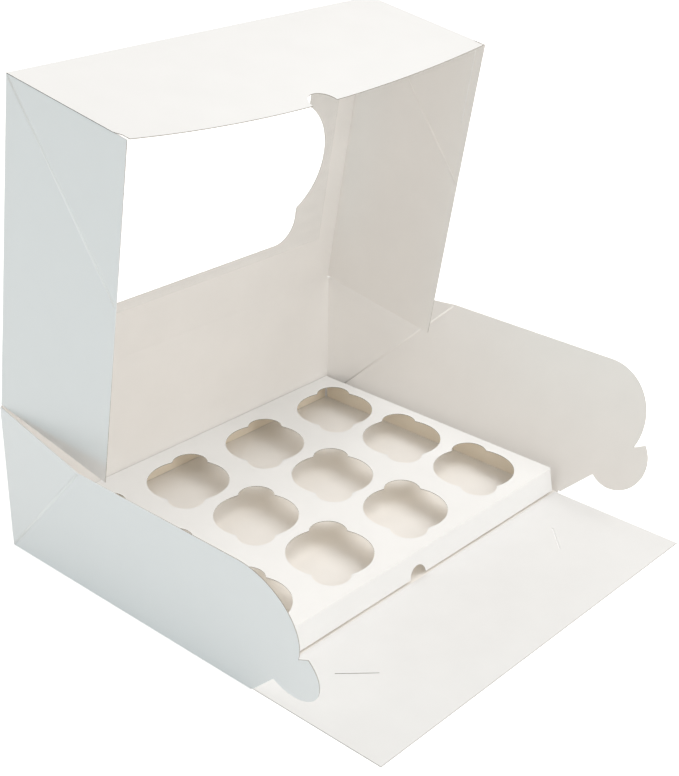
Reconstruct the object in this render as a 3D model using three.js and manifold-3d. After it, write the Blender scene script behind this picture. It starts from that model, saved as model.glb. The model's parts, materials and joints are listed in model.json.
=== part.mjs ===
// A cupcake box, standing open: a one-piece folded card box with a window in its lid, and a separate
// folded card insert with twelve cup holes.
// Millimetres, +Z up. The origin is the middle of the underside of the tray, the front is -Y.
import * as THREE from 'three';
import { mergeVertices } from 'three/addons/utils/BufferGeometryUtils.js';
import Module from 'manifold-3d';

const wasm = await Module();
wasm.setup();

// Card
const board = 0.45;
const foldInset = 0.02;
const creaseBead = 0.1;
const creaseEndInset = 0.1;
const foldGap = 0.3;

// Tray, measured between its creases
const trayWidth = 330;
const trayDepth = 240;
const trayHeight = 111;
const leftSplayDeg = 10.5;
const rightSplayDeg = 22;
const backGlueFlapWidth = 26;
const backGlueFlapTaper = 6;

// Front panel, which lies open on the table
const panelHeight = 105.5;
const panelSideClearance = 0.8;
const slitLength = 28;
const slitWidth = 0.7;
const slitStartBelowTab = 4.7;
const tabTipPastSlit = 9.65;

// Front flaps of the side walls
const flapStep = 1.2;
const flapFootGap = 1.5;
const flapReach = 52;
const shoulderRadius = 41.5;
const shoulderEndDeg = -22;
const tabCentreAcross = 39;
const tabCentreUp = 42;
const tabRadius = 24.5;
const tabCornerDeg = 41;

// Lid
const lidForwardLeanDeg = 9.6;
const lidSideClearance = 1.0;
const lidFrontClearance = 1.2;
const lidFootClearance = 1.2;
const lidBackClearance = 1.0;
const lipNotchRadius = 11.5;
const lidGlueFlapLength = 62;
const lidGlueFlapShortEnd = 8;
const lidGlueFlapInset = 6.5;
const lidCreaseInset = 4;
const cornerSlitWidth = 0.9;

// Window and its film
const windowWidth = 226;
const windowHeight = 141;
const windowCornerRadius = 20;
const windowBumpRadius = 49;
const windowBumpReach = 24;
const film = 0.2;
const filmMargin = 8;

// Cup insert
const insertHeight = 20;
const insertSideClearance = 0.8;
const insertFrontClearance = 0.5;
const insertBackClearance = 0.7;
const insertFloorGap = 0.3;
const insertFrontFlapLift = 1.6;
const insertFrontFlapSplayDeg = 11;
const insertCornerTrim = 1.5;
const insertNotchRadius = 8;
const holePitchX = 81;
const holePitchY = 71.7;
const holeEdgeMargin = 6;
const holeRadius = 30.8;
const lobeRadius = 13.5;
const lobeOffset = 27.5;

// Facets of the round edges
const arcSegments = 10;
const creaseSides = 10;

// Materials
const cardMaterial = () => new THREE.MeshStandardMaterial({ color: 0xeceae5, roughness: 0.6, metalness: 0 });
const insertMaterial = () => new THREE.MeshStandardMaterial({ color: 0xf1f0ec, roughness: 0.65, metalness: 0 });
const filmMaterial = () =>
  new THREE.MeshStandardMaterial({ color: 0xffffff, roughness: 0.05, metalness: 0, transparent: true, opacity: 0.2 });

// Lines and planes that several pieces share
const halfBoard = board / 2;
const halfWidth = trayWidth / 2;
const backLine = trayDepth / 2;
const frontLine = -trayDepth / 2;
const lidHalfWidth = halfWidth - lidSideClearance;
const lidLength = trayDepth - lidFrontClearance;
const lidWallDepth = trayHeight - lidFootClearance;
const edgeToAxis = halfBoard + foldGap;

const radians = THREE.MathUtils.degToRad;
const point = (x, y, z = 0) => new THREE.Vector3(x, y, z);

// Solid from a closed geometry, with its shared corners merged.
function solidOf(geometry) {
  const bare = geometry.index ? geometry.toNonIndexed() : geometry.clone();
  bare.deleteAttribute('normal');
  bare.deleteAttribute('uv');
  const merged = mergeVertices(bare, 1e-5);
  return new wasm.Manifold(
    new wasm.Mesh({
      numProp: 3,
      vertProperties: new Float32Array(merged.attributes.position.array),
      triVerts: new Uint32Array(merged.index.array),
    })
  );
}

function join(solids) {
  return solids.reduce((whole, piece) => whole.add(piece));
}

function namedMesh(name, solid, material) {
  const { vertProperties, triVerts } = solid.getMesh();
  const geometry = new THREE.BufferGeometry();
  geometry.setAttribute('position', new THREE.BufferAttribute(vertProperties, 3));
  geometry.setIndex(new THREE.BufferAttribute(triVerts, 1));
  const mesh = new THREE.Mesh(geometry, material);
  mesh.name = name;
  return mesh;
}

// A plane in space: an origin and two directions that span it. The third points out of its face.
function plane(origin, across, up) {
  const u = across.clone().normalize();
  const v = up.clone().addScaledVector(u, -up.dot(u)).normalize();
  const out = new THREE.Vector3().crossVectors(u, v);
  return new THREE.Matrix4().makeBasis(u, v, out).setPosition(origin);
}

// Flat sheet with its middle on a plane.
function sheet(outline, where, thickness = board) {
  const geometry = new THREE.ExtrudeGeometry(outline, {
    depth: thickness,
    bevelEnabled: false,
    curveSegments: arcSegments,
  });
  geometry.translate(0, 0, -thickness / 2);
  geometry.applyMatrix4(where);
  return solidOf(geometry);
}

// Straight-sided outline from pairs of coordinates in the sheet's own plane.
function polygon(pairs) {
  return new THREE.Shape(pairs.map(([x, y]) => new THREE.Vector2(x, y)));
}

function rectangle(left, bottom, right, top) {
  return polygon([[left, bottom], [right, bottom], [right, top], [left, top]]);
}

// Round core of a fold, from one point to another. A bead makes it stand proud of the board.
function crease(from, to, bead = -foldInset) {
  const radius = halfBoard + bead;
  const along = to.clone().sub(from);
  const length = along.length() - 2 * creaseEndInset;
  const geometry = new THREE.CylinderGeometry(radius, radius, length, creaseSides);
  const turn = new THREE.Quaternion().setFromUnitVectors(point(0, 1, 0), along.clone().normalize());
  geometry.applyQuaternion(turn);
  geometry.translate(...from.clone().addScaledVector(along, 0.5).toArray());
  return solidOf(geometry);
}

// Plane of a side wall: across runs forward from the back corner, up runs along the splayed wall.
function sideWallPlane(side, splayDeg) {
  const splay = radians(splayDeg);
  return plane(
    point(side * halfWidth, backLine, halfBoard),
    point(0, -1, 0),
    point(side * Math.sin(splay), 0, Math.cos(splay))
  );
}

// Side wall. The diagonal crease lets it splay while its rear corner stays glued to the back wall, and
// the top edge of the rear corner keeps its length.
function sideWall(side, splayDeg) {
  const wall = sideWallPlane(side, splayDeg);
  const height = trayHeight - halfBoard;
  const diagonalEnd = height * Math.sqrt(2 * Math.cos(radians(splayDeg)) - 1);
  const frontEdge = trayDepth + flapStep - edgeToAxis;
  const front = sheet(polygon([[0, 0], [frontEdge, 0], [frontEdge, height], [diagonalEnd, height]]), wall);
  const foot = point(0, 0).applyMatrix4(wall);
  const diagonalTop = point(diagonalEnd, height).applyMatrix4(wall);
  const cornerTop = point(side * halfWidth, backLine, trayHeight - edgeToAxis);
  const cornerPlane = plane(foot, diagonalTop.clone().sub(foot), cornerTop.clone().sub(foot));
  const toCorner = cornerPlane.clone().invert();
  const corner = [foot, diagonalTop, cornerTop].map((p) => p.clone().applyMatrix4(toCorner));
  return join([
    front,
    sheet(polygon(corner.map((p) => [p.x, p.y])), cornerPlane),
    crease(foot, diagonalTop, creaseBead),
    crease(foot, point(0, 0).setX(frontEdge).applyMatrix4(wall)),
    crease(foot, cornerTop),
  ]);
}

// Flap of a side wall, glued to the outside of the back wall.
function backGlueFlap(side) {
  const height = trayHeight - edgeToAxis;
  const inner = halfWidth - backGlueFlapWidth;
  const outline = polygon([
    [side * halfWidth, backGlueFlapTaper],
    [side * inner, 2 * backGlueFlapTaper],
    [side * inner, height - 2 * backGlueFlapTaper],
    [side * halfWidth, height - backGlueFlapTaper],
  ]);
  const lap = board - creaseBead / 2;
  return sheet(outline, plane(point(0, backLine + lap, 0), point(1, 0, 0), point(0, 0, 1)));
}

function baseTray() {
  const floorPlane = plane(point(0, 0, halfBoard), point(1, 0, 0), point(0, 1, 0));
  const backPlane = plane(point(0, backLine, 0), point(1, 0, 0), point(0, 0, 1));
  const wallTop = trayHeight - edgeToAxis;
  return join([
    sheet(rectangle(-halfWidth, frontLine + edgeToAxis, halfWidth, backLine), floorPlane),
    sheet(rectangle(-halfWidth, halfBoard, halfWidth, wallTop), backPlane),
    crease(point(-halfWidth, backLine, halfBoard), point(halfWidth, backLine, halfBoard)),
    sideWall(-1, leftSplayDeg),
    sideWall(1, rightSplayDeg),
    backGlueFlap(-1),
    backGlueFlap(1),
  ]);
}

// Thin diagonal slit that takes the tip of a front flap's tab.
function tabSlit(side) {
  const along = point(side, 1).normalize();
  const across = point(-along.y, along.x);
  const tabMiddle = point(side * (tabCentreAcross - halfWidth), tabCentreUp);
  const nearest = tabMiddle.clone().addScaledVector(point(side, -1).normalize(), tabRadius - tabTipPastSlit);
  const start = nearest.clone().addScaledVector(along, -slitStartBelowTab);
  const end = start.clone().addScaledVector(along, slitLength);
  const corners = [[start, -1], [end, -1], [end, 1], [start, 1]];
  const slit = new THREE.Path();
  slit.setFromPoints(
    corners.map(([base, sign]) => {
      const corner = base.clone().addScaledVector(across, (sign * slitWidth) / 2);
      return new THREE.Vector2(corner.x, corner.y);
    })
  );
  return slit;
}

function frontPanel() {
  const panelHalfWidth = halfWidth - panelSideClearance;
  const outline = rectangle(-panelHalfWidth, 0, panelHalfWidth, panelHeight);
  outline.holes.push(tabSlit(-1), tabSlit(1));
  const where = plane(point(0, frontLine, halfBoard), point(-1, 0, 0), point(0, -1, 0));
  return join([
    sheet(outline, where),
    crease(point(-panelHalfWidth, frontLine, halfBoard), point(panelHalfWidth, frontLine, halfBoard)),
  ]);
}

// Front flap: a round shoulder above a round tab, with a notch on each side of the tab.
function frontFlap(side, splayDeg) {
  const splay = radians(splayDeg);
  const hingeFoot = point(side * halfWidth, frontLine - flapStep, halfBoard);
  const where = plane(hingeFoot, point(0, -1, 0), point(side * Math.sin(splay), 0, Math.cos(splay)));
  const height = trayHeight - halfBoard;
  const shoulderAcross = flapReach - shoulderRadius;
  const shoulderUp = height - shoulderRadius;
  // The lower edge runs at 45 degrees until it meets the tab's circle.
  const middle = (tabCentreAcross + tabCentreUp) / 2;
  const spread = (tabCentreAcross - tabCentreUp) / 2;
  const lowerNotch = middle - Math.sqrt((tabRadius * tabRadius) / 2 - spread * spread);
  const lowerAngle = Math.atan2(lowerNotch - tabCentreUp, lowerNotch - tabCentreAcross);
  const outline = new THREE.Shape();
  outline.moveTo(0, flapFootGap);
  outline.lineTo(flapFootGap, flapFootGap);
  outline.absarc(tabCentreAcross, tabCentreUp, tabRadius, lowerAngle, radians(tabCornerDeg), false);
  outline.absarc(shoulderAcross, shoulderUp, shoulderRadius, radians(shoulderEndDeg), radians(90), false);
  outline.lineTo(0, height);
  return join([
    sheet(outline, where),
    crease(point(0, flapFootGap).applyMatrix4(where), point(0, height).applyMatrix4(where)),
  ]);
}

// The lid's own axes: across is +X, along runs from the hinge to the lip, inward is the way that its
// walls reach.
const lean = radians(lidForwardLeanDeg);
const lidAlong = point(0, -Math.sin(lean), Math.cos(lean));
const lidInward = point(0, -Math.cos(lean), -Math.sin(lean));
const lidHinge = point(0, backLine, trayHeight);

function lidPoint(across, along, inward) {
  return lidHinge
    .clone()
    .addScaledVector(lidAlong, along)
    .addScaledVector(lidInward, inward)
    .add(point(across, 0, 0));
}

// Window: a rounded rectangle with a round bump in the middle of each short side.
function windowPath() {
  const right = windowWidth / 2;
  const low = lidLength / 2 - windowHeight / 2;
  const high = low + windowHeight;
  const middle = lidLength / 2;
  const r = windowCornerRadius;
  const bumpCentre = right + windowBumpReach - windowBumpRadius;
  const bumpAngle = Math.acos((right - bumpCentre) / windowBumpRadius);
  const path = new THREE.Path();
  path.moveTo(-right + r, low);
  path.absarc(right - r, low + r, r, radians(-90), 0, false);
  path.absarc(bumpCentre, middle, windowBumpRadius, -bumpAngle, bumpAngle, false);
  path.absarc(right - r, high - r, r, 0, radians(90), false);
  path.absarc(-right + r, high - r, r, radians(90), radians(180), false);
  path.absarc(-bumpCentre, middle, windowBumpRadius, Math.PI - bumpAngle, Math.PI + bumpAngle, false);
  path.absarc(-right + r, low + r, r, radians(180), radians(270), false);
  return path;
}

// Lid side wall with its diagonal crease, and the lip's flap glued to its inside.
function lidSideWall(side) {
  const wall = plane(lidPoint(side * lidHalfWidth, 0, 0), lidInward, lidAlong);
  const flapOffset = side * (lidHalfWidth - board + creaseBead / 2);
  const flapPlane = plane(lidPoint(flapOffset, 0, 0), lidInward, lidAlong);
  const free = lidWallDepth - lidGlueFlapInset;
  const trimmed = lidGlueFlapLength + lidGlueFlapShortEnd;
  const glueFlap = polygon([
    [lidCreaseInset, lidLength],
    [free, lidLength],
    [free, lidLength - lidGlueFlapLength],
    [trimmed + lidCreaseInset, lidLength - trimmed],
  ]);
  const front = lidPoint(side * lidHalfWidth, lidLength, 0);
  const back = lidPoint(side * lidHalfWidth, lidBackClearance, 0);
  const corner = lidPoint(side * lidHalfWidth, lidLength, lidWallDepth - lidGlueFlapInset);
  const diagonalEnd = lidPoint(side * lidHalfWidth, lidLength - lidWallDepth, lidWallDepth);
  return join([
    sheet(rectangle(0, lidBackClearance, lidWallDepth, lidLength), wall),
    sheet(glueFlap, flapPlane),
    crease(back, front),
    crease(front, corner),
    crease(front, diagonalEnd, creaseBead),
  ]);
}

// Lip across the lid's front, with a half-round finger notch, and a slit at each free corner.
function lip() {
  const wide = lidHalfWidth;
  const narrow = lidHalfWidth - cornerSlitWidth;
  const slitStart = lidWallDepth - lidGlueFlapInset;
  const outline = new THREE.Shape();
  outline.moveTo(-wide, 0);
  outline.lineTo(wide, 0);
  outline.lineTo(wide, slitStart);
  outline.lineTo(narrow, slitStart);
  outline.lineTo(narrow, lidWallDepth);
  outline.absarc(0, lidWallDepth, lipNotchRadius, 0, -Math.PI, true);
  outline.lineTo(-narrow, lidWallDepth);
  outline.lineTo(-narrow, slitStart);
  outline.lineTo(-wide, slitStart);
  return sheet(outline, plane(lidPoint(0, lidLength, 0), point(1, 0, 0), lidInward));
}

function lid() {
  const top = rectangle(-lidHalfWidth, 0, lidHalfWidth, lidLength);
  top.holes.push(windowPath());
  const left = -lidHalfWidth;
  const right = lidHalfWidth;
  return join([
    sheet(top, plane(lidHinge, point(1, 0, 0), lidAlong)),
    lip(),
    lidSideWall(-1),
    lidSideWall(1),
    crease(lidPoint(left, 0, 0), lidPoint(right, 0, 0)),
    crease(lidPoint(left, lidLength, 0), lidPoint(right, lidLength, 0)),
  ]);
}

function windowFilm() {
  const reach = windowWidth / 2 + windowBumpReach + filmMargin;
  const rise = windowHeight / 2 + filmMargin;
  const where = plane(lidPoint(0, lidLength / 2, halfBoard + foldGap + film / 2), point(1, 0, 0), lidAlong);
  return sheet(rectangle(-reach, -rise, reach, rise), where, film);
}

// Cup hole: a circle with a finger lobe at each end of one diagonal.
function cupHole(x, y) {
  const reach = holeRadius * holeRadius + lobeOffset * lobeOffset - lobeRadius * lobeRadius;
  const meet = Math.acos(reach / (2 * holeRadius * lobeOffset));
  const lobeAngle = Math.atan2(holeRadius * Math.sin(meet), holeRadius * Math.cos(meet) - lobeOffset);
  const path = new THREE.Path();
  for (const diagonal of [radians(45), radians(225)]) {
    const lobeX = x + lobeOffset * Math.cos(diagonal);
    const lobeY = y + lobeOffset * Math.sin(diagonal);
    path.absarc(lobeX, lobeY, lobeRadius, diagonal - lobeAngle, diagonal + lobeAngle, false);
    path.absarc(x, y, holeRadius, diagonal + meet, diagonal + Math.PI - meet, false);
  }
  path.closePath();
  return path;
}

function cupInsert() {
  const lidWallInside = lidHalfWidth - halfBoard;
  const side = lidWallInside - insertSideClearance - halfBoard;
  const back = backLine - halfBoard - insertBackClearance;
  const topMiddle = insertHeight - halfBoard;
  const foot = board + insertFloorGap;
  const drop = topMiddle - foot;
  // The front flap springs a little forward and stops short of the floor. Its foot clears the shut lip.
  const splay = radians(insertFrontFlapSplayDeg);
  const frontDrop = (drop - insertFrontFlapLift) / Math.cos(splay);
  const shutLip = frontLine + lidFrontClearance;
  const front = shutLip + board + insertFrontClearance + frontDrop * Math.sin(splay);
  const topOutline = rectangle(-side, front, side, back);
  // As many columns and rows of holes as the insert has room for, about the middle of the tray.
  const holeReach = lobeOffset * Math.SQRT1_2 + lobeRadius + holeEdgeMargin;
  const holeColumns = 1 + Math.floor((2 * (side - holeReach)) / holePitchX);
  const holeRows = 1 + Math.floor((2 * (Math.min(back, -front) - holeReach)) / holePitchY);
  for (let column = 0; column < holeColumns; column += 1) {
    for (let row = 0; row < holeRows; row += 1) {
      const x = (column - (holeColumns - 1) / 2) * holePitchX;
      const y = (row - (holeRows - 1) / 2) * holePitchY;
      topOutline.holes.push(cupHole(x, y));
    }
  }
  const top = sheet(topOutline, plane(point(0, 0, topMiddle), point(1, 0, 0), point(0, 1, 0)));
  const trim = insertCornerTrim;
  const down = point(0, 0, -1);
  const sideFlap = (sign) =>
    sheet(rectangle(front + trim, 0, back - trim, drop), plane(point(sign * side, 0, topMiddle), point(0, 1, 0), down));
  const backFlap = sheet(
    rectangle(-side + trim, 0, side - trim, drop),
    plane(point(0, back, topMiddle), point(1, 0, 0), down)
  );
  // The front flap has a notch to lift it by.
  const frontOutline = new THREE.Shape();
  frontOutline.moveTo(-side + trim, 0);
  frontOutline.lineTo(side - trim, 0);
  frontOutline.lineTo(side - trim, frontDrop);
  frontOutline.absarc(0, frontDrop, insertNotchRadius, 0, -Math.PI, true);
  frontOutline.lineTo(-side + trim, frontDrop);
  const frontDown = point(0, -Math.sin(splay), -Math.cos(splay));
  const frontFlapSheet = sheet(frontOutline, plane(point(0, front, topMiddle), point(1, 0, 0), frontDown));
  return join([
    top,
    sideFlap(-1),
    sideFlap(1),
    backFlap,
    frontFlapSheet,
    crease(point(-side, front + trim, topMiddle), point(-side, back - trim, topMiddle)),
    crease(point(side, front + trim, topMiddle), point(side, back - trim, topMiddle)),
    crease(point(-side + trim, back, topMiddle), point(side - trim, back, topMiddle)),
    crease(point(-side + trim, front, topMiddle), point(side - trim, front, topMiddle)),
  ]);
}

const cupcakeBox = new THREE.Group();
cupcakeBox.add(
  namedMesh('base_tray', baseTray(), cardMaterial()),
  namedMesh('front_panel', frontPanel(), cardMaterial()),
  namedMesh('left_front_flap', frontFlap(-1, leftSplayDeg), cardMaterial()),
  namedMesh('right_front_flap', frontFlap(1, rightSplayDeg), cardMaterial()),
  namedMesh('lid', lid(), cardMaterial()),
  namedMesh('window_film', windowFilm(), filmMaterial()),
  namedMesh('cup_insert', cupInsert(), insertMaterial())
);

export default cupcakeBox;
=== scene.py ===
import json
import math

import bmesh
import bpy
from mathutils import Matrix, Vector


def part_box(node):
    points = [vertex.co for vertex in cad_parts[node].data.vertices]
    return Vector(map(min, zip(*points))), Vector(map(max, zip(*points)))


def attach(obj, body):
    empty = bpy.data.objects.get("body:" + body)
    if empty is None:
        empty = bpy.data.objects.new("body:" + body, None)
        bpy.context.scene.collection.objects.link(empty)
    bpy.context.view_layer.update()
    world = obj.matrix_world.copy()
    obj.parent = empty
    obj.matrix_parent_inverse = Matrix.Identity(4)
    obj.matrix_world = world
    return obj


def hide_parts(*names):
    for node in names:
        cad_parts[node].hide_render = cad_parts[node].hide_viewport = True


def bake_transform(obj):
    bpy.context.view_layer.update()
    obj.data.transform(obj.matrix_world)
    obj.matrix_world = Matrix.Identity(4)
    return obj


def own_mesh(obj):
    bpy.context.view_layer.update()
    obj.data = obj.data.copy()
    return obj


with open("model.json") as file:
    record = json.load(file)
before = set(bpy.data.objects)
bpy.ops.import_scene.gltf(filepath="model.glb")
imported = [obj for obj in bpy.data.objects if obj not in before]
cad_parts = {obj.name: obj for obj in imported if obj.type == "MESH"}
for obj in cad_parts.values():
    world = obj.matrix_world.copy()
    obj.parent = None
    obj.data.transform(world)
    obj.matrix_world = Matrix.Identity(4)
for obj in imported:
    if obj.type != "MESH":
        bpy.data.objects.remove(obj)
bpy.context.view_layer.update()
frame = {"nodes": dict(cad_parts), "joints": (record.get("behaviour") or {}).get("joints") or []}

MM = 0.001

# Photograph: its height in pixels, and the camera that was fitted to points of the box and the insert
PHOTO_HEIGHT = 776
FOCAL_PIXELS = 1448.0
SENSOR_HEIGHT_MM = 36.0
CAMERA_AZIMUTH_DEG = -48.165
CAMERA_ELEVATION_DEG = 26.221
CAMERA_ROLL_DEG = 0.874
CAMERA_DISTANCE = 1123.42 * MM
CAMERA_TARGET = Vector((85.7, 34.6, 64.6)) * MM

# Card
COAT_WHITE = (0.845, 0.86, 0.872)
BOARD_WARM_WHITE = (0.93, 0.914, 0.892)
# The front panel's inside is the same bare board as the tray's inside. Its colour below is a darker,
# cooler copy set for the fuller light on the open panel: painted light, not a different board.
PANEL_BOARD_PAINTED_LIGHT = (0.828, 0.838, 0.845)
INSERT_WHITE = (0.915, 0.925, 0.93)
INSERT_BACK = (0.96, 0.88, 0.75)
# The crease ridges take lighter copies of the coat and the board colour: a painted highlight along each
# pressed crease.
CREASE_COAT_PAINTED_HIGHLIGHT = (0.93, 0.94, 0.945)
CREASE_BOARD_PAINTED_HIGHLIGHT = (0.955, 0.935, 0.91)
# The cut edge is the board's own grey-brown core, darkened further as painted shade for the shadow these
# thin edges lie in.
CUT_EDGE_CORE_AND_SHADE = (0.34, 0.32, 0.285)

# Places of a card's materials in the list of its mesh
OUTSIDE = 0
INSIDE = 1
EDGE = 2

# Card's texture: broad clouds in its tone and fine fibres in its surface
NOISE_MIDDLE = 0.5
CLOUD_SCALE = 38.0
CLOUD_DETAIL = 4.0
FIBRE_SCALE = 1500.0
FIBRE_DETAIL = 3.0
FIBRE_ROUGHNESS = 0.6
FIBRE_HEIGHT = 0.08 * MM
ROUGHNESS_SWING = 0.12

# Film, with a faint veil that the ripples vary
FILM_COLOR = (0.97, 0.98, 0.98)
FILM_ROUGHNESS = 0.06
RIPPLE_SCALE = 14.0
RIPPLE_DETAIL = 1.0
RIPPLE_STRENGTH = 0.15
RIPPLE_HEIGHT = 0.4 * MM
VEIL_MIN = 0.06
VEIL_MAX = 0.11

# Light, at a level where a colour renders about as it is written
SKY_STRENGTH = 0.61
KEY_ENERGY = 21.0
FILL_ENERGY = 3.7
FRONT_ENERGY = 5.0
BACK_ENERGY = 3.0
WARM_SKY = (1.0, 0.95, 0.885)
KEY_COLOR = (1.0, 0.993, 0.985)
COOL_FILL = (0.4, 0.83, 1.0)
FRONT_COLOR = (1.0, 0.99, 0.97)

# Floor
FLOOR_COLOR = (0.86, 0.86, 0.86)
FLOOR_GLOW = 0.63
FLOOR_GRAIN_SCALE = 60.0
FLOOR_GRAIN_STRENGTH = 0.02
FLOOR_HALF_SIZE = 6.0
FLOOR_DROP = 0.2 * MM


def set_input(node, name, value):
    node.inputs[name].default_value = value


def new_group(name, inputs, outputs):
    """An empty shader node group. Inputs are (name, socket type, default), outputs (name, socket type)."""
    group = bpy.data.node_groups.new(name, "ShaderNodeTree")
    for socket_name, socket_type, default in inputs:
        socket = group.interface.new_socket(socket_name, in_out="INPUT", socket_type=socket_type)
        socket.default_value = default
    for socket_name, socket_type in outputs:
        group.interface.new_socket(socket_name, in_out="OUTPUT", socket_type=socket_type)
    entry = group.nodes.new("NodeGroupInput")
    leave = group.nodes.new("NodeGroupOutput")
    return group, entry, leave


def card_fibre_group():
    """Soft mottling of pressed fibre: a tinted colour, a roughness and a bumped normal."""
    group, entry, leave = new_group(
        "card_fibre",
        [
            ("Color", "NodeSocketColor", (0.8, 0.8, 0.8, 1.0)),
            ("Mottle", "NodeSocketFloat", 0.03),
            ("Roughness", "NodeSocketFloat", 0.55),
            ("Bump", "NodeSocketFloat", 0.06),
        ],
        [("Color", "NodeSocketColor"), ("Roughness", "NodeSocketFloat"), ("Normal", "NodeSocketVector")],
    )
    nodes = group.nodes
    links = group.links
    place = nodes.new("ShaderNodeTexCoord")

    cloud = nodes.new("ShaderNodeTexNoise")
    set_input(cloud, "Scale", CLOUD_SCALE)
    set_input(cloud, "Detail", CLOUD_DETAIL)
    links.new(place.outputs["Object"], cloud.inputs["Vector"])

    fibre = nodes.new("ShaderNodeTexNoise")
    set_input(fibre, "Scale", FIBRE_SCALE)
    set_input(fibre, "Detail", FIBRE_DETAIL)
    set_input(fibre, "Roughness", FIBRE_ROUGHNESS)
    links.new(place.outputs["Object"], fibre.inputs["Vector"])

    centred = nodes.new("ShaderNodeMath")
    centred.operation = "SUBTRACT"
    centred.inputs[1].default_value = NOISE_MIDDLE
    links.new(cloud.outputs["Fac"], centred.inputs[0])

    swing = nodes.new("ShaderNodeMath")
    swing.operation = "MULTIPLY_ADD"
    swing.inputs[2].default_value = 1.0
    links.new(centred.outputs[0], swing.inputs[0])
    links.new(entry.outputs["Mottle"], swing.inputs[1])

    tint = nodes.new("ShaderNodeVectorMath")
    tint.operation = "SCALE"
    links.new(entry.outputs["Color"], tint.inputs[0])
    links.new(swing.outputs[0], tint.inputs["Scale"])
    links.new(tint.outputs[0], leave.inputs["Color"])

    rough = nodes.new("ShaderNodeMath")
    rough.operation = "MULTIPLY_ADD"
    rough.inputs[1].default_value = ROUGHNESS_SWING
    links.new(centred.outputs[0], rough.inputs[0])
    links.new(entry.outputs["Roughness"], rough.inputs[2])
    links.new(rough.outputs[0], leave.inputs["Roughness"])

    bump = nodes.new("ShaderNodeBump")
    set_input(bump, "Distance", FIBRE_HEIGHT)
    links.new(entry.outputs["Bump"], bump.inputs["Strength"])
    links.new(fibre.outputs["Fac"], bump.inputs["Height"])
    links.new(bump.outputs["Normal"], leave.inputs["Normal"])
    return group


CARD_FIBRE = card_fibre_group()


def card_material(name, color, mottle, roughness, bump, specular=0.35):
    material = bpy.data.materials.new(name)
    material.use_nodes = True
    nodes = material.node_tree.nodes
    links = material.node_tree.links
    shader = nodes["Principled BSDF"]
    set_input(shader, "Specular IOR Level", specular)
    fibre = nodes.new("ShaderNodeGroup")
    fibre.node_tree = CARD_FIBRE
    set_input(fibre, "Color", (*color, 1.0))
    set_input(fibre, "Mottle", mottle)
    set_input(fibre, "Roughness", roughness)
    set_input(fibre, "Bump", bump)
    links.new(fibre.outputs["Color"], shader.inputs["Base Color"])
    links.new(fibre.outputs["Roughness"], shader.inputs["Roughness"])
    links.new(fibre.outputs["Normal"], shader.inputs["Normal"])
    return material


coated_outside = card_material(
    "coated_card_outside", COAT_WHITE, mottle=0.03, roughness=0.42, bump=0.03, specular=0.5
)
bare_inside = card_material("bare_card_inside", BOARD_WARM_WHITE, mottle=0.05, roughness=0.68, bump=0.08)
# The open front panel's inside: the same bare board, in a darker, cooler copy of its colour that paints in
# the panel's fuller light.
panel_board_painted_light = card_material("bare_board_painted_light_panel_copy", PANEL_BOARD_PAINTED_LIGHT, mottle=0.05, roughness=0.66, bump=0.08)
insert_card = card_material("insert_card", INSERT_WHITE, mottle=0.04, roughness=0.62, bump=0.07)
insert_back = card_material("insert_card_back", INSERT_BACK, mottle=0.05, roughness=0.7, bump=0.08)
# The cut edge: the board's grey-brown core, made darker still as painted shade.
cut_edge_core_and_shade = card_material("cut_board_edge_core_and_shade", CUT_EDGE_CORE_AND_SHADE, mottle=0.25, roughness=0.85, bump=0.3, specular=0.2)
# Lighter copies of the coat and the board for the crease ridges: a painted highlight.
crease_coat_painted_highlight = card_material(
    "crease_coat_painted_highlight", CREASE_COAT_PAINTED_HIGHLIGHT, mottle=0.03, roughness=0.42, bump=0.03, specular=0.5
)
crease_board_painted_highlight = card_material("crease_board_painted_highlight", CREASE_BOARD_PAINTED_HIGHLIGHT, mottle=0.05, roughness=0.6, bump=0.06)


def clear_film_material():
    material = bpy.data.materials.new("clear_window_film")
    material.use_nodes = True
    nodes = material.node_tree.nodes
    links = material.node_tree.links
    shader = nodes["Principled BSDF"]
    set_input(shader, "Base Color", (*FILM_COLOR, 1.0))
    set_input(shader, "Roughness", FILM_ROUGHNESS)
    ripple = nodes.new("ShaderNodeTexNoise")
    set_input(ripple, "Scale", RIPPLE_SCALE)
    set_input(ripple, "Detail", RIPPLE_DETAIL)
    veil = nodes.new("ShaderNodeMapRange")
    set_input(veil, "To Min", VEIL_MIN)
    set_input(veil, "To Max", VEIL_MAX)
    links.new(ripple.outputs["Fac"], veil.inputs["Value"])
    links.new(veil.outputs["Result"], shader.inputs["Alpha"])
    bump = nodes.new("ShaderNodeBump")
    set_input(bump, "Strength", RIPPLE_STRENGTH)
    set_input(bump, "Distance", RIPPLE_HEIGHT)
    links.new(ripple.outputs["Fac"], bump.inputs["Height"])
    links.new(bump.outputs["Normal"], shader.inputs["Normal"])
    return material


clear_film = clear_film_material()


# Faces that lie in one plane are one flat surface. A large one is a side of the board, and of the small
# ones a cut edge is as wide as the board is thick, and the facets of a fold's round core are narrower.
SIDE_MIN_AREA = 200 * MM * MM
CUT_EDGE_MIN_WIDTH = 0.4 * MM
PLANE_STEP = 0.1 * MM
NORMAL_DIGITS = 2


def plane_key(polygon):
    normal = tuple(round(v, NORMAL_DIGITS) for v in polygon.normal)
    return normal, round(polygon.center.dot(polygon.normal) / PLANE_STEP)


def facet_width(mesh, polygon):
    corners = [mesh.vertices[i].co for i in polygon.vertices]
    longest = max((p - q).length for p, q in zip(corners, corners[1:] + corners[:1]))
    return 2 * polygon.area / longest if longest > 0 else 0


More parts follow.
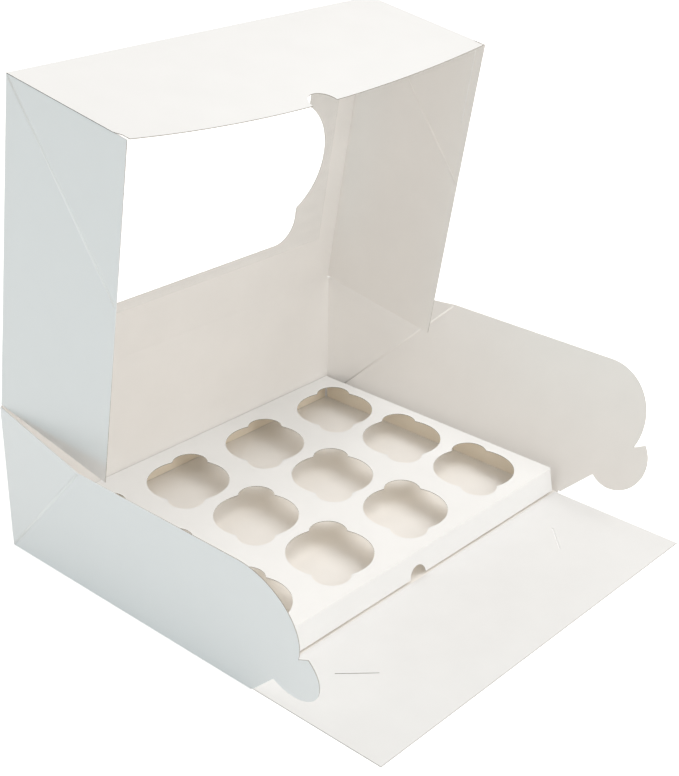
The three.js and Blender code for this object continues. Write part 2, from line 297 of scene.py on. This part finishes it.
def cut_edge_faces(mesh):
    """The indices of the faces that are the cut edge of the board."""
    area = {}
    for polygon in mesh.polygons:
        key = plane_key(polygon)
        area[key] = area.get(key, 0) + polygon.area
    return {
        polygon.index
        for polygon in mesh.polygons
        if area[plane_key(polygon)] < SIDE_MIN_AREA and facet_width(mesh, polygon) > CUT_EDGE_MIN_WIDTH
    }


def paint_card(node_name, outside, inside, centre):
    """Paint a node's faces: those that look away from the centre have the material of the outside."""
    mesh = frame["nodes"][node_name].data
    mesh.materials.clear()
    # The cut edges take the core colour with painted shade in it.
    for material in (outside, inside, cut_edge_core_and_shade):
        mesh.materials.append(material)
    edges = cut_edge_faces(mesh)
    for polygon in mesh.polygons:
        side = OUTSIDE if polygon.normal.dot(polygon.center - centre) > 0 else INSIDE
        polygon.material_index = EDGE if polygon.index in edges else side


tray_low, tray_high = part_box("base_tray")
lid_low, lid_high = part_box("lid")
tray_middle = (tray_low + tray_high) / 2
lid_middle = (lid_low + lid_high) / 2

# The open panel's inside looks up, towards this point over the table
ABOVE_TABLE_HEIGHT = 200 * MM
above_table = Vector((0, 0, ABOVE_TABLE_HEIGHT))

paint_card("base_tray", coated_outside, bare_inside, tray_middle)
paint_card("lid", coated_outside, bare_inside, lid_middle)
# The front panel's inside takes the painted-light copy of the board colour, darker and cooler than the
# tray's inside.
paint_card("front_panel", coated_outside, panel_board_painted_light, above_table)
paint_card("left_front_flap", coated_outside, bare_inside, tray_middle)
paint_card("right_front_flap", coated_outside, bare_inside, tray_middle)
insert_low, insert_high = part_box("cup_insert")
paint_card("cup_insert", insert_card, insert_back, (insert_low + insert_high) / 2)

# Folds and pressed creases
BOARD = 0.45 * MM
FOLD_REACH = 1.1 * MM
FOLD_PROUD = 0.015 * MM
FOLD_END_INSET = 0.3 * MM
FOLD_STEPS = 10
CREASE_WIDTH = 2.0 * MM
CREASE_HEIGHT = 0.32 * MM
CREASE_END_INSET = 2.0 * MM
CREASE_STEPS = 12

joints = {joint["name"]: joint for joint in frame["joints"]}


def tray_hinge_x(flap):
    return abs(joints[flap + "_flap_fold"]["pos_m"][0])


def upward_axis(flap):
    """The direction that the hinge line of a front flap rises in."""
    axis = Vector(joints[flap + "_flap_fold"]["axis"])
    return axis if axis.z > 0 else -axis


def skin(name, rings, material):
    """A closed mesh through rings of points, with its two ends filled."""
    sides = len(rings[0])
    points = [point for ring in rings for point in ring]
    faces = []
    for r in range(len(rings) - 1):
        for k in range(sides):
            n = (k + 1) % sides
            faces.append((r * sides + k, r * sides + n, (r + 1) * sides + n, (r + 1) * sides + k))
    faces.append(tuple(reversed(range(sides))))
    faces.append(tuple(range((len(rings) - 1) * sides, len(rings) * sides)))
    mesh = bpy.data.meshes.new(name)
    mesh.from_pydata([tuple(p) for p in points], [], faces)
    mesh.materials.append(material)
    mesh.validate()
    mesh.update()
    piece = bpy.data.objects.new(name, mesh)
    bpy.context.scene.collection.objects.link(piece)
    bpy.context.view_layer.update()
    return piece


def fold_strip(joint_name, first, last, before, after):
    """The card of a fold: a strip that bridges two bodies at their hinge."""
    out = (last - first).normalized().cross(after - before).normalized()
    steps = [FOLD_REACH * (2 * k / FOLD_STEPS - 1) for k in range(FOLD_STEPS + 1)]
    line = [(before * -s if s < 0 else after * s) for s in steps]
    half = BOARD / 2 + FOLD_PROUD
    section = [p + out * half for p in line] + [p - out * half for p in reversed(line)]
    rings = [[end + p for p in section] for end in (first, last)]
    piece = skin("fold_" + joint_name, rings, coated_outside)
    # The panel's fold takes the same painted-light copy of the board colour on its inside.
    inner_side = panel_board_painted_light if joint_name == "front_panel_fold" else bare_inside
    piece.data.materials.append(inner_side)
    hinge = (first + last) / 2
    outward = out if out.dot(hinge - tray_middle) > 0 else -out
    for polygon in piece.data.polygons:
        polygon.material_index = OUTSIDE if (polygon.center - hinge).dot(outward) > 0 else INSIDE
    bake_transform(piece)


def pressed_crease(name, body, start, end, out):
    """A low rounded ridge pressed into the board, proud of both of its sides."""
    along = (end - start).normalized()
    across = along.cross(out).normalized()
    section = []
    for k in range(CREASE_STEPS):
        turn = 2 * math.pi * k / CREASE_STEPS
        aside = CREASE_WIDTH / 2 * math.cos(turn)
        proud = BOARD / 2 + CREASE_HEIGHT * abs(math.sin(turn))
        section.append(across * aside + out * math.copysign(proud, math.sin(turn)))
    ends = (start + along * CREASE_END_INSET, end - along * CREASE_END_INSET)
    # The ridge's lighter colours paint a highlight along the crease, on top of the shading its shape gets.
    piece = skin(name, [[p + q for q in section] for p in ends], crease_coat_painted_highlight)
    piece.data.materials.append(crease_board_painted_highlight)
    middle = (start + end) / 2
    for polygon in piece.data.polygons:
        polygon.use_smooth = len(polygon.vertices) == 4
        polygon.material_index = OUTSIDE if (polygon.center - middle).dot(out) > 0 else INSIDE
    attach(piece, body)


panel_low, panel_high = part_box("front_panel")
panel_hinge = Vector(joints["front_panel_fold"]["pos_m"])
forward = Vector((0, -1, 0))
fold_strip(
    "front_panel_fold",
    Vector((panel_low.x + FOLD_END_INSET, panel_hinge.y, BOARD / 2 + FOLD_PROUD)),
    Vector((panel_high.x - FOLD_END_INSET, panel_hinge.y, BOARD / 2 + FOLD_PROUD)),
    -forward,
    forward,
)

LID_LEAN_DEG = 9.6
lean = math.radians(LID_LEAN_DEG)
lid_along = Vector((0, -math.sin(lean), math.cos(lean)))
lid_inward = Vector((0, -math.cos(lean), -math.sin(lean)))
lid_hinge = Vector(joints["lid_hinge"]["pos_m"])
fold_strip(
    "lid_hinge",
    Vector((lid_low.x + FOLD_END_INSET, lid_hinge.y, lid_hinge.z)),
    Vector((lid_high.x - FOLD_END_INSET, lid_hinge.y, lid_hinge.z)),
    Vector((0, 0, -1)),
    lid_along,
)

for flap in ("left", "right"):
    joint = joints[flap + "_flap_fold"]
    foot = Vector(joint["pos_m"])
    rise = upward_axis(flap)
    flap_low, flap_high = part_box(flap + "_front_flap")
    bottom = foot + rise * ((flap_low.z - foot.z) / rise.z + FOLD_END_INSET)
    top = foot + rise * ((flap_high.z - foot.z) / rise.z - FOLD_END_INSET)
    fold_strip(joint["name"], bottom, top, -forward, forward)

# Diagonal creases, from each corner across the side walls
LID_LENGTH = 238.8 * MM
LID_WALL_DEPTH = 109.8 * MM
LID_HALF_WIDTH = 164 * MM
TRAY_WALL_HEIGHT = 110.775 * MM
for side, flap in ((-1, "left"), (1, "right")):
    corner = lid_hinge + Vector((side * LID_HALF_WIDTH, 0, 0)) + lid_along * LID_LENGTH
    free_end = corner - lid_along * LID_WALL_DEPTH + lid_inward * LID_WALL_DEPTH
    pressed_crease("lid_crease_" + flap, "lid", corner, free_end, Vector((side, 0, 0)))

    rise = upward_axis(flap)
    foot = Vector((side * tray_hinge_x(flap), lid_hinge.y, BOARD / 2))
    # The wall splays while its rear corner stays glued to the back wall, which shortens the crease's run.
    # rise.z is the cosine of the splay.
    forward_run = TRAY_WALL_HEIGHT * math.sqrt(2 * rise.z - 1)
    top = foot + rise * TRAY_WALL_HEIGHT + forward * forward_run
    out = rise.cross(forward).normalized() * side
    pressed_crease("tray_crease_" + flap, "tray", foot, top, out)

# The lip sags between the side walls while the lid stands open, and the shut box straightens it
LIP_SAG = 11 * MM
LIP_SAG_POWER = 1.6
LIP_NOTCH_RADIUS = 11.5 * MM
LIP_CORNER_SLOT = 2.2 * MM
LIP_SLOT_LENGTH = 6.5 * MM
LIP_ROWS = 18
LIP_SIDE_COLUMNS = 22
LIP_NOTCH_COLUMNS = 16
LIP_SLAB = 0.3 * MM
LIP_SKIP_TOP = 1 * MM
LIP_SHARP_DEG = 40

# The insert's front flap
FLAT_TOP_STEP = 0.1 * MM
FLAP_FOLD_REACH = 0.8 * MM


def lid_point(across, along, inward):
    return lid_hinge + Vector((across, 0, 0)) + lid_along * along + lid_inward * inward


def lip_columns():
    """Positions across the lip, closer together round the finger notch."""
    reach = LID_HALF_WIDTH + BOARD / 2
    run = reach - LIP_NOTCH_RADIUS
    side = [LIP_NOTCH_RADIUS + run * (k + 1) / LIP_SIDE_COLUMNS for k in range(LIP_SIDE_COLUMNS)]
    turns = [math.pi * (k / LIP_NOTCH_COLUMNS - 0.5) for k in range(LIP_NOTCH_COLUMNS + 1)]
    notch = [LIP_NOTCH_RADIUS * math.sin(turn) for turn in turns]
    return [-x for x in reversed(side)] + notch + side


def lip_depth(across):
    notch = max(LIP_NOTCH_RADIUS**2 - across**2, 0)
    return LID_WALL_DEPTH - math.sqrt(notch)


def lip_grid(offset):
    """One side of the lip, offset from the middle of the board."""
    rows = []
    for row in range(LIP_ROWS + 1):
        points = []
        for column in lip_columns():
            inward = lip_depth(column) * row / LIP_ROWS
            beside_slot = LID_WALL_DEPTH - inward < LIP_SLOT_LENGTH
            across = column * (1 - LIP_CORNER_SLOT / LID_HALF_WIDTH) if beside_slot else column
            flatness = 1 - (column / LID_HALF_WIDTH) ** 2
            sag = LIP_SAG * max(flatness, 0) * (inward / LID_WALL_DEPTH) ** LIP_SAG_POWER
            points.append(lid_point(across, LID_LENGTH + offset - sag, inward))
        rows.append(points)
    return rows


def bowed_lip():
    outer = lip_grid(BOARD / 2)
    inner = lip_grid(-BOARD / 2)
    width = len(outer[0])
    count = width * len(outer)
    points = [tuple(p) for grid in (outer, inner) for row in grid for p in row]
    faces = []
    kinds = []

    def face(corners, kind):
        faces.append(corners)
        kinds.append(kind)

    for r in range(LIP_ROWS):
        for c in range(width - 1):
            a = r * width + c
            b = a + width
            face((a, a + 1, b + 1, b), OUTSIDE)
            face((count + a, count + b, count + b + 1, count + a + 1), INSIDE)
    rim = list(range(width))
    rim += [r * width + width - 1 for r in range(1, LIP_ROWS + 1)]
    rim += [LIP_ROWS * width + c for c in range(width - 2, -1, -1)]
    rim += [r * width for r in range(LIP_ROWS - 1, 0, -1)]
    for a, b in zip(rim, rim[1:] + rim[:1]):
        face((b, a, count + a, count + b), EDGE)
    mesh = bpy.data.meshes.new("lid_lip")
    mesh.from_pydata(points, [], faces)
    # The lip's rim takes the cut edge's core colour with painted shade in it.
    for material in (coated_outside, bare_inside, cut_edge_core_and_shade):
        mesh.materials.append(material)
    for polygon, kind in zip(mesh.polygons, kinds):
        polygon.material_index = kind
        polygon.use_smooth = kind != EDGE
    mesh.update()
    mesh.set_sharp_from_angle(angle=math.radians(LIP_SHARP_DEG))
    lip = bpy.data.objects.new("lid_lip", mesh)
    bpy.context.scene.collection.objects.link(lip)
    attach(lip, "lid")
    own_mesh(lip)


def faces_of_node(node_name, name, body, wanted):
    """A piece made of the faces of a node that are wanted."""
    mesh = frame["nodes"][node_name].data.copy()
    mesh.name = name
    shape = bmesh.new()
    shape.from_mesh(mesh)
    bmesh.ops.delete(shape, geom=[f for f in shape.faces if not wanted(f)], context="FACES")
    shape.to_mesh(mesh)
    shape.free()
    piece = bpy.data.objects.new(name, mesh)
    bpy.context.scene.collection.objects.link(piece)
    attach(piece, body)
    return piece


def lid_without_lip():
    """The lid's top and side walls, as the CAD has them, without the flat lip."""

    def is_not_lip(f):
        beyond = all((v.co - lid_hinge).dot(lid_along) > LID_LENGTH - LIP_SLAB for v in f.verts)
        return not beyond or (f.calc_center_median() - lid_hinge).dot(lid_inward) <= LIP_SKIP_TOP

    card = faces_of_node("lid", "lid_card", "lid", is_not_lip)
    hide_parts("lid")


def sprung_insert():
    """The insert in two pieces, because the shut lip presses its sprung front flap nearly upright."""
    points = [v.co for v in frame["nodes"]["cup_insert"].data.vertices]
    fold_line = min(p.y for p in points if p.z > insert_high.z - FLAT_TOP_STEP)

    def is_front_flap(f):
        return all(v.co.y < fold_line + FLAP_FOLD_REACH for v in f.verts)

    def is_not_front_flap(f):
        return not is_front_flap(f)

    sheet = faces_of_node("cup_insert", "insert_sheet", "tray", is_not_front_flap)
    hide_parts("cup_insert")
    flap = faces_of_node("cup_insert", "insert_front_flap", "tray", is_front_flap)
    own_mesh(flap)


lid_without_lip()
bowed_lip()
sprung_insert()

film = frame["nodes"]["window_film"]
film.data.materials.clear()
film.data.materials.append(clear_film)


def floor_material():
    """White to the camera and in gloss, with the object's own shadow kept on it."""
    material = bpy.data.materials.new("studio_floor")
    material.use_nodes = True
    nodes = material.node_tree.nodes
    links = material.node_tree.links
    nodes.remove(nodes["Principled BSDF"])
    matt = nodes.new("ShaderNodeBsdfDiffuse")
    set_input(matt, "Color", (*FLOOR_COLOR, 1.0))
    grain = nodes.new("ShaderNodeTexNoise")
    set_input(grain, "Scale", FLOOR_GRAIN_SCALE)
    bump = nodes.new("ShaderNodeBump")
    set_input(bump, "Strength", FLOOR_GRAIN_STRENGTH)
    links.new(grain.outputs["Fac"], bump.inputs["Height"])
    links.new(bump.outputs["Normal"], matt.inputs["Normal"])
    glow = nodes.new("ShaderNodeEmission")
    set_input(glow, "Strength", FLOOR_GLOW)
    path = nodes.new("ShaderNodeLightPath")
    seen = nodes.new("ShaderNodeMath")
    seen.operation = "MAXIMUM"
    links.new(path.outputs["Is Camera Ray"], seen.inputs[0])
    links.new(path.outputs["Is Glossy Ray"], seen.inputs[1])
    seen_through = nodes.new("ShaderNodeMath")
    seen_through.operation = "MAXIMUM"
    links.new(seen.outputs[0], seen_through.inputs[0])
    links.new(path.outputs["Is Transmission Ray"], seen_through.inputs[1])
    lit = nodes.new("ShaderNodeMixShader")
    links.new(seen_through.outputs[0], lit.inputs["Fac"])
    links.new(matt.outputs["BSDF"], lit.inputs[1])
    both = nodes.new("ShaderNodeAddShader")
    links.new(matt.outputs["BSDF"], both.inputs[0])
    links.new(glow.outputs["Emission"], both.inputs[1])
    links.new(both.outputs["Shader"], lit.inputs[2])
    links.new(lit.outputs["Shader"], nodes["Material Output"].inputs["Surface"])
    return material


def studio_floor():
    corners = [(-1, -1), (1, -1), (1, 1), (-1, 1)]
    mesh = bpy.data.meshes.new("studio_floor")
    points = [(x * FLOOR_HALF_SIZE, y * FLOOR_HALF_SIZE, -FLOOR_DROP) for x, y in corners]
    mesh.from_pydata(points, [], [(0, 1, 2, 3)])
    mesh.materials.append(floor_material())
    floor = bpy.data.objects.new("studio_floor", mesh)
    bpy.context.scene.collection.objects.link(floor)


def studio_world():
    world = bpy.data.worlds.new("studio_world")
    bpy.context.scene.world = world
    world.use_nodes = True
    nodes = world.node_tree.nodes
    links = world.node_tree.links
    sky = nodes["Background"]
    set_input(sky, "Color", (*WARM_SKY, 1.0))
    set_input(sky, "Strength", SKY_STRENGTH)
    white = nodes.new("ShaderNodeBackground")
    set_input(white, "Color", (1.0, 1.0, 1.0, 1.0))
    set_input(white, "Strength", 1.0)
    path = nodes.new("ShaderNodeLightPath")
    mix = nodes.new("ShaderNodeMixShader")
    links.new(path.outputs["Is Camera Ray"], mix.inputs["Fac"])
    links.new(sky.outputs["Background"], mix.inputs[1])
    links.new(white.outputs["Background"], mix.inputs[2])
    links.new(mix.outputs["Shader"], nodes["World Output"].inputs["Surface"])


def soft_lamp(name, place, aim, size, energy, color):
    light = bpy.data.lights.new(name, "AREA")
    light.shape = "SQUARE"
    light.size = size
    light.energy = energy
    light.color = color
    lamp = bpy.data.objects.new(name, light)
    lamp.location = place
    lamp.rotation_euler = (Vector(aim) - Vector(place)).to_track_quat("-Z", "Y").to_euler()
    bpy.context.scene.collection.objects.link(lamp)


def photo_camera():
    azimuth = math.radians(CAMERA_AZIMUTH_DEG)
    elevation = math.radians(CAMERA_ELEVATION_DEG)
    roll = math.radians(CAMERA_ROLL_DEG)
    back = Vector(
        (
            math.sin(azimuth) * math.cos(elevation),
            -math.cos(azimuth) * math.cos(elevation),
            math.sin(elevation),
        )
    )
    right = (-back).cross(Vector((0, 0, 1))).normalized()
    up = right.cross(-back)
    across = right * math.cos(roll) + up * math.sin(roll)
    upward = -right * math.sin(roll) + up * math.cos(roll)
    data = bpy.data.cameras.new("photo_camera")
    data.sensor_fit = "VERTICAL"
    data.sensor_height = SENSOR_HEIGHT_MM
    data.lens = SENSOR_HEIGHT_MM * FOCAL_PIXELS / PHOTO_HEIGHT
    camera = bpy.data.objects.new("photo_camera", data)
    turn = Matrix((across, upward, back)).transposed().to_4x4()
    camera.matrix_world = Matrix.Translation(CAMERA_TARGET + back * CAMERA_DISTANCE) @ turn
    bpy.context.scene.collection.objects.link(camera)
    bpy.context.scene.camera = camera


studio_floor()
studio_world()
soft_lamp(
    "key_lamp",
    place=(0.85, -0.55, 2.0),
    aim=(0, 0, 0.12),
    size=1.6,
    energy=KEY_ENERGY,
    color=KEY_COLOR,
)
soft_lamp(
    "fill_lamp",
    place=(-1.9, 0.1, 0.28),
    aim=(0, 0, 0.2),
    size=0.5,
    energy=FILL_ENERGY,
    color=COOL_FILL,
)
soft_lamp(
    "front_lamp",
    place=(-0.1, -1.75, 1.0),
    aim=(0, 0, 0.2),
    size=1.0,
    energy=FRONT_ENERGY,
    color=FRONT_COLOR,
)
soft_lamp(
    "back_lamp",
    place=(0.45, 1.25, 1.6),
    aim=(0, 0, 0.1),
    size=1.2,
    energy=BACK_ENERGY,
    color=FRONT_COLOR,
)
photo_camera()

bpy.context.scene.view_settings.view_transform = "Standard"
